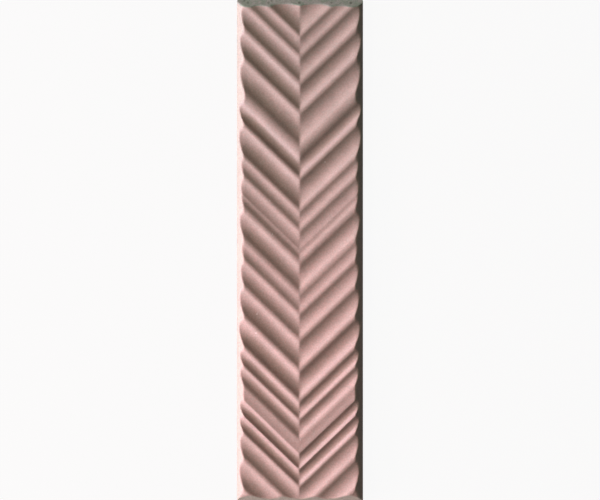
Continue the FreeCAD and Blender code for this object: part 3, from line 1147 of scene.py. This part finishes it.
@dataclass(frozen=True)
class SatinGlaze:
    """Dusty pink satin glaze, paler on the side bevels from thinner glaze and from painted sheen and light,
    with bare grey-beige clay at the ends.

    The fade is where, along the tile, the lower end's colours give way to the upper end's. The lighter,
    warmer lower end and the darker, cooler upper end are partly the glaze's and clay's own tone and partly
    painted light and shade, for the light that falls stronger and warmer on the lower end. The end reach is
    how far the bare clay rises past the end bevel's edge, at the lower and at the upper end, and the end
    wander is how far its own edge strays. Shades are how dark and how light a pattern makes a colour.
    """

    length: float
    # Darker, cooler upper end and lighter, warmer lower end: partly own tone, partly painted shade and
    # painted light.
    upper: Colour = (0.355, 0.228, 0.206)
    lower: Colour = (0.410, 0.243, 0.222)
    fade: Band = (-60.0, 90.0)
    grain: GrainSize = GrainSize(14.0, 1.0, 1.6)
    patch_shades: Band = (0.94, 1.06)
    speck_shades: Band = (0.87, 1.13)
    cool_tint: Colour = (0.93, 1.03, 1.03)
    warm_tint: Colour = (1.07, 0.97, 0.97)
    # Paler, greener side bevels: partly thinner glaze, partly a painted sheen on the lit bevel and painted
    # light on the shaded one.
    upper_edge_and_sheen: Colour = (1.0, 1.19, 1.12)
    lower_edge_and_sheen: Colour = (0.95, 1.13, 1.05)
    edge_band: Band = (-0.4, 0.6)
    olive_end: Colour = (0.222, 0.232, 0.187)
    mauve_end: Colour = (0.300, 0.266, 0.238)
    lower_end: Colour = (0.400, 0.307, 0.263)
    end_grain: GrainSize = GrainSize(6.0, 1.2, 1.6)
    end_patches: Band = (0.4, 0.6)
    end_shades: Band = (0.84, 1.14)
    end_reach: Band = (0.2, 1.0)
    end_wander: float = 1.2
    end_band: Band = (0.05, 0.55)
    roughness: float = 0.45
    roughness_play: float = 0.04
    bare_roughness: float = 0.8
    gloss: float = 0.3
    bump_strength: float = 0.25
    bump_depth: float = 0.06

    def make(self, grain_group: Tree, fleck_group: Tree) -> bpy.types.Material:
        """Lay the material's nodes.

        Args:
            grain_group: The grain of fired clay.
            fleck_group: The small round fleck.

        Returns:
            The finished material.
        """
        finish = Finish("satin_glaze")
        bench = finish.bench
        grain = finish.grain(grain_group, self.grain)
        end = finish.grain(grain_group, self.end_grain)
        up = bench.spread(finish.along, *self.fade)
        bare = self.bare_share(finish, end["Patches"])
        colour = bench.mix(bare, self.glazed(finish, grain, up), self.fired(finish, end, up))
        for spot in FLECKS:
            mask = finish.group(fleck_group, {
                "Place": finish.place, "Location": (spot.x, spot.y, 0.0), "Radius": spot.radius})
            factor = bench.math("MULTIPLY", mask.outputs[0], spot.strength)
            colour = bench.mix(factor, colour, spot.colour)
        sheen = finish.sheen(grain["Patches"], self.roughness, self.roughness_play)
        rough = bench.math("MULTIPLY_ADD", bare, self.bare_roughness - self.roughness, sheen)
        bench.feed(finish.shader.inputs["Specular IOR Level"], self.gloss)
        return finish.coat(colour, rough, grain["Height"], self.bump_strength, self.bump_depth)

    def glazed(self, finish: Finish, grain: Sockets, up: Socket) -> Socket:
        """Mottle the glaze's colour and make it paler over the side bevels, for thinner glaze and as painted
        sheen and light.

        Args:
            finish: The material.
            grain: What the glaze's grain puts out.
            up: The share of the upper end's colours.

        Returns:
            The glaze's colour.
        """
        bench = finish.bench
        # Lighter and warmer towards the lower end: partly the glaze's own tone, partly painted light for the
        # stronger light there.
        colour = bench.mix(up, self.lower, self.upper)
        patches = bench.spread(grain["Patches"], *NOISE_BAND, *self.patch_shades)
        specks = bench.spread(grain["Grain"], *NOISE_BAND, *self.speck_shades, smooth=False)
        colour = finish.shaded(colour, bench.math("MULTIPLY", patches, specks))
        tint = bench.spread(grain["Tint"], *NOISE_BAND, smooth=False)
        colour = bench.mix(1.0, colour, bench.mix(tint, self.cool_tint, self.warm_tint), "MULTIPLY")
        # Paler side bevels: partly thinner glaze, partly a painted sheen on the lit bevel and painted light
        # on the shaded one.
        edge = bench.spread(finish.attribute("thin_edge"), *self.edge_band)
        thin_and_sheen = bench.mix(up, self.lower_edge_and_sheen, self.upper_edge_and_sheen)
        return bench.mix(edge, colour, bench.mix(1.0, colour, thin_and_sheen, "MULTIPLY"))

    def bare_share(self, finish: Finish, patches: Socket) -> Socket:
        """Leave the ends bare, up to a ragged edge.

        Args:
            finish: The material.
            patches: The patches of the ends' grain.

        Returns:
            1 where the ends are bare and 0 where they are glazed.
        """
        bench = finish.bench
        reach = bench.spread(finish.along, -self.length / 2, self.length / 2, *self.end_reach)
        wander = bench.math("MULTIPLY", bench.math("SUBTRACT", patches, 0.5), self.end_wander)
        ragged = bench.math("ADD", bench.math("ADD", finish.attribute("bare_end"), reach), wander)
        return bench.spread(ragged, *self.end_band)

    def fired(self, finish: Finish, end: Sockets, up: Socket) -> Socket:
        """Mottle the colour of the ends' bare clay.

        Args:
            finish: The material.
            end: What the ends' grain puts out.
            up: The share of the upper end's colours.

        Returns:
            The bare clay's colour.
        """
        bench = finish.bench
        patches = bench.spread(end["Patches"], *self.end_patches)
        # The lower end's lighter bare clay is partly painted light, for the stronger light on that end.
        colour = bench.mix(up, self.lower_end, bench.mix(patches, self.olive_end, self.mauve_end))
        return finish.shaded(colour, bench.spread(end["Grain"], *NOISE_BAND, *self.end_shades, smooth=False))


@dataclass(frozen=True)
class FiredBody:
    """Pale fired clay of the back, dry and slightly rough, with stains and specks."""

    colour: Colour = (0.60, 0.51, 0.42)
    stain: Colour = (0.48, 0.40, 0.33)
    grain: GrainSize = GrainSize(22.0, 0.7, 1.1)
    stain_band: Band = (0.35, 0.7)
    speck_band: Band = (0.62, 0.72)
    speck_strength: float = 0.5
    roughness: float = 0.85
    roughness_play: float = 0.06
    bump_strength: float = 0.5
    bump_depth: float = 0.12

    def make(self, grain_group: Tree) -> bpy.types.Material:
        """Lay the material's nodes.

        Args:
            grain_group: The grain of fired clay.

        Returns:
            The finished material.
        """
        finish = Finish("fired_body")
        bench = finish.bench
        grain = finish.grain(grain_group, self.grain)
        colour = bench.mix(bench.spread(grain["Patches"], *self.stain_band), self.colour, self.stain)
        specks = bench.spread(grain["Grain"], *self.speck_band)
        colour = bench.mix(bench.math("MULTIPLY", specks, self.speck_strength), colour, self.stain)
        rough = finish.sheen(grain["Patches"], self.roughness, self.roughness_play)
        return finish.coat(colour, rough, grain["Height"], self.bump_strength, self.bump_depth)


@dataclass(frozen=True)
class SoftBox:
    """A soft light: where it hangs as seen from the tile, its size, colour and level, in metres.

    The aim is how far up the tile it is hung and turned, and the grid is how wide it shines, in degrees.
    """

    name: str
    azimuth: float
    elevation: float
    distance: float
    width: float
    height: float
    level: float
    colour: Colour
    aim: float = 0.0
    grid: float = 180.0

    def hang(self) -> None:
        """Hang the light so that it faces the tile, with its width level.

        Its power is such that, with an open grid, it gives a level white card the light's own level.
        """
        azimuth, elevation = math.radians(self.azimuth), math.radians(self.elevation)
        towards = Vector((math.cos(elevation) * math.cos(azimuth),
                          math.cos(elevation) * math.sin(azimuth), math.sin(elevation)))
        data = bpy.data.lights.new(self.name, "AREA")
        data.shape = "RECTANGLE"
        data.size = self.width
        data.size_y = self.height
        data.color = self.colour
        data.spread = math.radians(self.grid)
        data.energy = self.level * math.pi ** 2 * self.distance ** 2 / towards.z
        lamp = put(self.name, data)
        lamp.location = towards * self.distance + Vector((0.0, self.aim, 0.0))
        lamp.rotation_euler = towards.to_track_quat("Z", "Y").to_euler()


SOFT_BOXES = (
    SoftBox("window_strip", azimuth=180.0, elevation=18.0, distance=1.1, width=1.9, height=0.25,
            level=0.975, colour=(0.87, 0.84, 1.0)),
    SoftBox("upper_left_box", azimuth=140.0, elevation=38.0, distance=1.1, width=0.8, height=0.4,
            level=0.178, colour=(0.77, 1.0, 0.62)),
    SoftBox("lower_left_box", azimuth=220.0, elevation=38.0, distance=1.1, width=0.8, height=0.4,
            level=0.216, colour=(0.69, 1.0, 0.76)),
    SoftBox("lower_end_box", azimuth=180.0, elevation=38.0, distance=1.0, width=0.5, height=0.5,
            level=0.026, colour=(1.0, 0.72, 0.72), aim=-0.12, grid=44.0),
)


@dataclass
class Studio:
    """Pale floor, soft raking lights from the left and the camera above.

    The picture's scale is given by the tile's width in millimetres and in the photo's pixels, and its
    middle lies a little above the tile's.
    """

    rim_height: float = 5.8
    view_height: float = 2000.0
    tile_width: float = 75.0
    tile_pixels: float = 126.0
    picture_pixels: float = 600.0
    picture_middle: float = 0.7
    sensor: float = 36.0
    fill_level: float = 0.02
    fill_colour: Colour = (0.5, 1.0, 0.9)
    floor_size: float = 3000.0
    floor_colour: Colour = (0.30, 0.20, 0.19)
    floor_white: float = 0.94

    def camera(self) -> None:
        """Hang the camera straight above the tile, with the photo's frame at the rim's level."""
        picture_width = self.picture_pixels * self.tile_width / self.tile_pixels
        data = bpy.data.cameras.new("camera")
        data.sensor_width = self.sensor
        data.lens = self.sensor * self.view_height / picture_width
        camera = put("camera", data)
        camera.location = (0.0, self.picture_middle * MM, (self.view_height + self.rim_height) * MM)
        bpy.context.scene.camera = camera

    def world(self) -> None:
        """Give the world its faint fill, and white to the camera and in reflections."""
        world = bpy.data.worlds.new("studio")
        bench = Bench(empty_tree(world))
        fill = bench.node("ShaderNodeBackground", {
            "Color": (*self.fill_colour, 1.0), "Strength": self.fill_level})
        white = bench.node("ShaderNodeBackground", {"Color": WHITE, "Strength": 1.0})
        mix = bench.node("ShaderNodeMixShader", {
            0: self.seen(bench), 1: fill.outputs[0], 2: white.outputs[0]})
        bench.node("ShaderNodeOutputWorld", {"Surface": mix.outputs[0]})
        bpy.context.scene.world = world

    @staticmethod
    def seen(bench: Bench) -> Socket:
        """Pick out the rays that show the surround itself.

        Args:
            bench: The bench of the tree that asks.

        Returns:
            1 for rays from the camera and for rays that show the surround in gloss or glass, and 0 for
            the rest.
        """
        path = bench.node("ShaderNodeLightPath").outputs
        mirrored = bench.math("MAXIMUM", path["Is Glossy Ray"], path["Is Transmission Ray"])
        return bench.math("MAXIMUM", path["Is Camera Ray"], mirrored)

    def floor(self) -> None:
        """Lay the pale floor, white to the camera and in reflections but for the tile's soft shadow."""
        half = self.floor_size / 2 * MM
        mesh = bpy.data.meshes.new("floor")
        mesh.from_pydata([(-half, -half, 0), (half, -half, 0), (half, half, 0), (-half, half, 0)], [],
                         [(0, 1, 2, 3)])
        material = bpy.data.materials.new("floor")
        bench = Bench(empty_tree(material))
        pale = bench.node("ShaderNodeBsdfDiffuse", {"Color": (*self.floor_colour, 1.0)})
        white = bench.node("ShaderNodeEmission", {"Color": WHITE, "Strength": 1.0})
        share = bench.math("MULTIPLY", self.seen(bench), self.floor_white)
        mix = bench.node("ShaderNodeMixShader", {0: share, 1: pale.outputs[0], 2: white.outputs[0]})
        bench.node("ShaderNodeOutputMaterial", {"Surface": mix.outputs[0]})
        mesh.materials.append(material)
        put("floor", mesh)

    def build(self) -> None:
        """Set up camera, lights, world and floor."""
        self.camera()
        for box in SOFT_BOXES:
            box.hang()
        self.world()
        self.floor()
        bpy.context.scene.view_settings.view_transform = "Standard"
        log.info("studio: camera, %d soft lights and floor", len(SOFT_BOXES))


def main() -> None:
    """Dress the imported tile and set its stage."""
    logging.basicConfig(level=logging.INFO, format="%(name)s: %(message)s")
    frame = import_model()
    log.info("frame: %s", ", ".join(frame["nodes"]))

    stock = Stock.from_frame()
    grain = fired_grain()
    glaze = SatinGlaze(stock.length).make(grain, fleck())
    body = FiredBody().make(grain)
    tile = GlazedTile(stock, Relief(stock)).build(glaze, body)
    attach(tile, "root")
    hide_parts(NODE)
    Studio().build()


if __name__ == "__main__":
    main()
